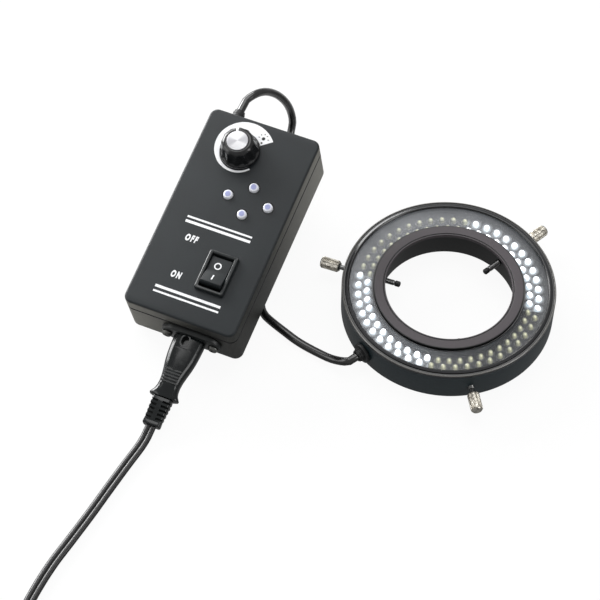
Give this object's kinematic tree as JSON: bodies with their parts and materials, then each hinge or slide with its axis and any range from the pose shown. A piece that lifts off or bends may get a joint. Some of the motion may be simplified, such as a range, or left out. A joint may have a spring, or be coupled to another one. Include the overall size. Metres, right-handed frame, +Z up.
{
  "type": "microscope ring light",
  "caption": "LED ring light with four dimmable zones and three clamping thumbscrews, wired to a control box with a knob, rocker switch and zone buttons on a mains lead",
  "frame": {"origin": "centre of the footprint of box and ring, on the surface that they stand on", "axes": "+X from the box to the ring, +Z up, +Y away from the mains lead"},
  "size_m": [0.2573, 0.3652, 0.0621],
  "materials": {
    "case_plastic": "fine textured satin",
    "black_plastic": "satin black",
    "cord_sheath": "soft sheath",
    "foot_rubber": "matt",
    "knob_cap": "spun",
    "nickel": "nickel plated",
    "screw_steel": "zinc plated",
    "ring_black": "black satin",
    "collar_grey": "matt grey",
    "window": "clear acrylic",
    "led_lens": "clear epoxy lamps on a dark board",
    "button_white": "translucent white",
    "board_green": "solder resist",
    "winding": "taped winding on a laminated core"
  },
  "bodies": {
    "base": {"box_top_cover": "case_plastic", "box_bottom_cover": "case_plastic", "switch_housing": "black_plastic", "mains_inlet": "black_plastic", "mains_connector": "black_plastic", "mains_plug": "black_plastic", "capacitor": "black_plastic", "mains_cord": "cord_sheath", "mains_cord_coil": "cord_sheath", "mains_cord_end": "cord_sheath", "lamp_cable_upper": "cord_sheath", "lamp_cable_coil": "cord_sheath", "lamp_cable_lower": "cord_sheath", "connector_relief": "cord_sheath", "cable_gland": "cord_sheath", "ring_cable_bush": "cord_sheath", "rubber_foot_1": "foot_rubber", "rubber_foot_2": "foot_rubber", "rubber_foot_3": "foot_rubber", "rubber_foot_4": "foot_rubber", "mains_cord_tie": "foot_rubber", "lamp_cable_tie": "foot_rubber", "potentiometer_nut": "nickel", "inlet_pin_1": "nickel", "inlet_pin_2": "nickel", "plug_blade_1": "nickel", "plug_blade_2": "nickel", "case_screw_1": "screw_steel", "case_screw_2": "screw_steel", "case_screw_3": "screw_steel", "case_screw_4": "screw_steel", "inlet_screw_1": "screw_steel", "inlet_screw_2": "screw_steel", "potentiometer": "screw_steel", "ring_housing": "ring_black", "ring_bezel": "ring_black", "inner_collar": "collar_grey", "ring_window": "window", "led_board_1": "led_lens", "led_board_2": "led_lens", "led_board_3": "led_lens", "led_board_4": "led_lens", "circuit_board": "board_green", "transformer": "winding"},
    "knob": {"brightness_knob": "black_plastic", "knob_cap": "knob_cap", "potentiometer_shaft": "screw_steel"},
    "rocker": {"switch_rocker": "black_plastic"},
    "button_1": {"zone_button_1": "button_white"},
    "button_2": {"zone_button_2": "button_white"},
    "button_3": {"zone_button_3": "button_white"},
    "button_4": {"zone_button_4": "button_white"},
    "tip_1": {"screw_tip_1": "foot_rubber"},
    "thumb_screw_1_body": {"thumb_screw_1": "nickel"},
    "tip_2": {"screw_tip_2": "foot_rubber"},
    "thumb_screw_2_body": {"thumb_screw_2": "nickel"},
    "tip_3": {"screw_tip_3": "foot_rubber"},
    "thumb_screw_3_body": {"thumb_screw_3": "nickel"}
  },
  "joints": [
    {"name": "brightness", "type": "hinge", "parent": "base", "child": "knob", "pos_m": [-0.04858, 0.04372, 0.0491], "axis": [-0.0879, -0.2071, 0.9744], "range_deg": [-82, 203]},
    {"name": "rocker_swing", "type": "hinge", "parent": "base", "child": "rocker", "pos_m": [-0.05876, -0.01815, 0.03473], "axis": [0.9205, -0.3907, 0], "range_deg": [0, 24]},
    {"name": "button_1_press", "type": "slide", "parent": "base", "child": "button_1", "axis": [0.0879, 0.2071, -0.9744], "range_m": [0, 0.001], "stiffness_N_per_m": 400, "springref_m": -0.001},
    {"name": "button_2_press", "type": "slide", "parent": "base", "child": "button_2", "axis": [0.0879, 0.2071, -0.9744], "range_m": [0, 0.001], "stiffness_N_per_m": 400, "springref_m": -0.001},
    {"name": "button_3_press", "type": "slide", "parent": "base", "child": "button_3", "axis": [0.0879, 0.2071, -0.9744], "range_m": [0, 0.001], "stiffness_N_per_m": 400, "springref_m": -0.001},
    {"name": "button_4_press", "type": "slide", "parent": "base", "child": "button_4", "axis": [0.0879, 0.2071, -0.9744], "range_m": [0, 0.001], "stiffness_N_per_m": 400, "springref_m": -0.001},
    {"name": "tip_1_travel", "type": "slide", "parent": "base", "child": "tip_1", "axis": [0.766, 0.6428, 0], "range_m": [-0.003, 0.006]},
    {"name": "thumb_screw_1_turn", "type": "hinge", "parent": "tip_1", "child": "thumb_screw_1_body", "pos_m": [0.09237, 0.02207, 0.0075], "axis": [0.766, 0.6428, 0], "range_deg": [-2165, 4325]},
    {"name": "tip_2_travel", "type": "slide", "parent": "base", "child": "tip_2", "axis": [-0.9397, 0.342, 0], "range_m": [-0.003, 0.006]},
    {"name": "thumb_screw_2_turn", "type": "hinge", "parent": "tip_2", "child": "thumb_screw_2_body", "pos_m": [-0.00042, 0.00571, 0.0075], "axis": [-0.9397, 0.342, 0], "range_deg": [-2165, 4325]},
    {"name": "tip_3_travel", "type": "slide", "parent": "base", "child": "tip_3", "axis": [0.1736, -0.9848, 0], "range_m": [-0.003, 0.006]},
    {"name": "thumb_screw_3_turn", "type": "hinge", "parent": "tip_3", "child": "thumb_screw_3_body", "pos_m": [0.06015, -0.06647, 0.0075], "axis": [0.1736, -0.9848, 0], "range_deg": [-2165, 4325]}
  ],
  "couplings": [
    {"joint": "thumb_screw_1_turn", "follows": "tip_1_travel", "rad_per_m": 12566},
    {"joint": "thumb_screw_2_turn", "follows": "tip_2_travel", "rad_per_m": 12566},
    {"joint": "thumb_screw_3_turn", "follows": "tip_3_travel", "rad_per_m": 12566}
  ]
}
